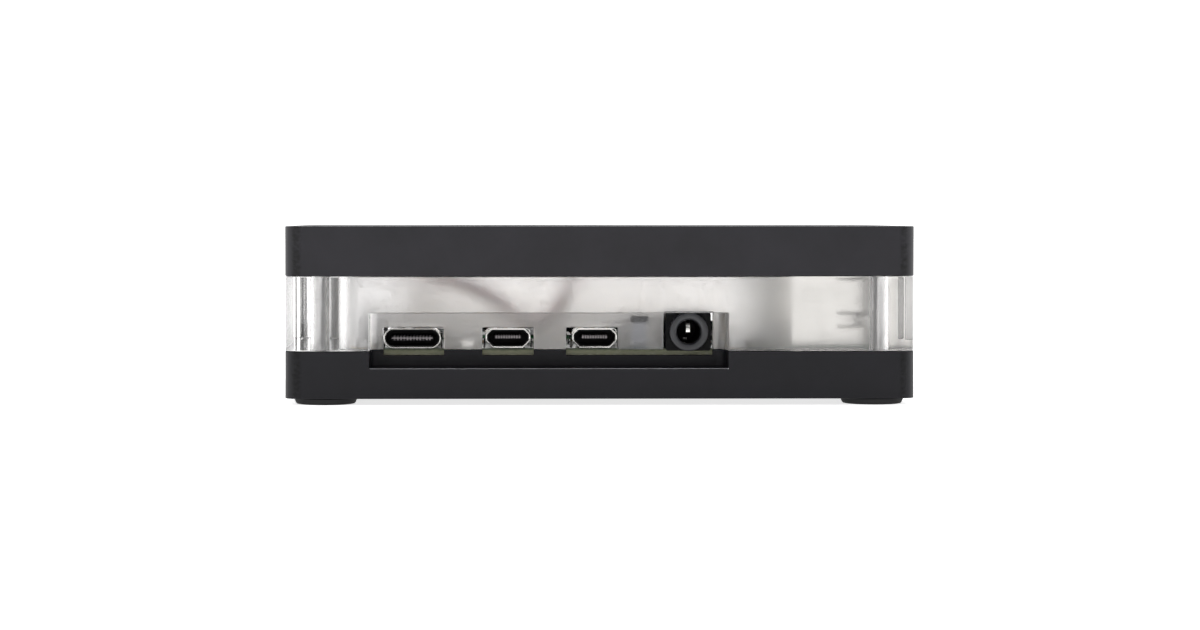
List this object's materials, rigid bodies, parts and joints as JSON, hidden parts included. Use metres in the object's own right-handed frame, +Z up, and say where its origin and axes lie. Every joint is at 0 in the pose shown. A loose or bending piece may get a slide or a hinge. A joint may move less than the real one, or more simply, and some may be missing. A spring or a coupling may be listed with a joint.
{
  "type": "single board computer",
  "caption": "Single board computer in a milled three-layer case, black base and lid round a thick clear middle, with port windows in a front recess and rubber feet.",
  "frame": {"origin": "centre of the surface that the feet stand on", "axes": "+Z up, +X to the right of the port side along the case's length, port side faces -Y"},
  "size_m": [0.097, 0.0716, 0.0275],
  "materials": {
    "black_acetal": "satin milled",
    "clear_acrylic": "polished faces, milled pocket walls",
    "dark_screw": "black oxide",
    "brass": "knurled",
    "black_rubber": "matte",
    "circuit_board": "solder mask",
    "bright_screw": "zinc plated",
    "connector_shell": "nickel plated",
    "black_plastic": "moulded",
    "contact_metal": "plated",
    "header_pins": "gold plated pins in a black strip",
    "chip_lid": "stamped metal",
    "chip_black": "moulded epoxy",
    "pale_plastic": "moulded",
    "latch_plastic": "moulded",
    "fan_plastic": "moulded",
    "copper": "enamelled wire",
    "red_sleeve": "smooth",
    "black_sleeve": "smooth"
  },
  "bodies": {
    "case": {"bottom_shell": "black_acetal", "middle_frame": "clear_acrylic", "top_cover": "black_acetal", "case_screw_front_left": "bright_screw", "case_screw_front_right": "bright_screw", "case_screw_back_left": "bright_screw", "case_screw_back_right": "bright_screw", "threaded_insert_front_left": "brass", "threaded_insert_front_right": "brass", "threaded_insert_back_left": "brass", "threaded_insert_back_right": "brass", "rubber_foot_front_left": "black_rubber", "rubber_foot_front_right": "black_rubber", "rubber_foot_back_left": "black_rubber", "rubber_foot_back_right": "black_rubber", "circuit_board": "circuit_board", "board_screw_1": "bright_screw", "board_screw_2": "bright_screw", "board_screw_3": "bright_screw", "board_screw_4": "bright_screw", "power_port_shell": "connector_shell", "video_port_left_shell": "connector_shell", "video_port_right_shell": "connector_shell", "power_port_insert": "black_plastic", "video_port_left_insert": "black_plastic", "video_port_right_insert": "black_plastic", "audio_jack_body": "black_plastic", "audio_jack_contact": "contact_metal", "data_port_front_shell": "connector_shell", "data_port_rear_shell": "connector_shell", "network_port_shield": "connector_shell", "data_port_front_insert": "black_plastic", "data_port_rear_insert": "black_plastic", "network_port_insert": "black_plastic", "pin_header": "header_pins", "small_header": "header_pins", "processor": "chip_lid", "memory_chip": "chip_black", "data_hub_chip": "chip_black", "network_chip": "chip_black", "power_chip": "chip_black", "wireless_shield": "chip_lid", "camera_connector_body": "pale_plastic", "display_connector_body": "pale_plastic", "card_socket": "connector_shell", "fan_frame": "fan_plastic", "fan_stator": "copper", "fan_screw_1": "dark_screw", "fan_screw_2": "dark_screw", "fan_screw_3": "dark_screw", "fan_screw_4": "dark_screw", "fan_plug": "black_plastic", "fan_lead_red": "red_sleeve", "fan_lead_black": "black_sleeve"},
    "fan_rotor": {"fan_rotor": "fan_plastic"},
    "memory_card": {"memory_card": "chip_black"},
    "camera_latch": {"camera_connector_latch": "latch_plastic"},
    "display_latch": {"display_connector_latch": "latch_plastic"}
  },
  "joints": [
    {"name": "fan_spin", "type": "hinge", "parent": "case", "child": "fan_rotor", "pos_m": [-0.01085, 0.0045, 0.023], "axis": [0, 0, 1], "continuous": true},
    {"name": "memory_card_slide", "type": "slide", "parent": "case", "child": "memory_card", "axis": [-1, 0, 0], "range_m": [0, 0.013]},
    {"name": "camera_latch_lift", "type": "slide", "parent": "case", "child": "camera_latch", "axis": [0, 0, 1], "range_m": [0, 0.0012]},
    {"name": "display_latch_lift", "type": "slide", "parent": "case", "child": "display_latch", "axis": [0, 0, 1], "range_m": [0, 0.0012]}
  ]
}
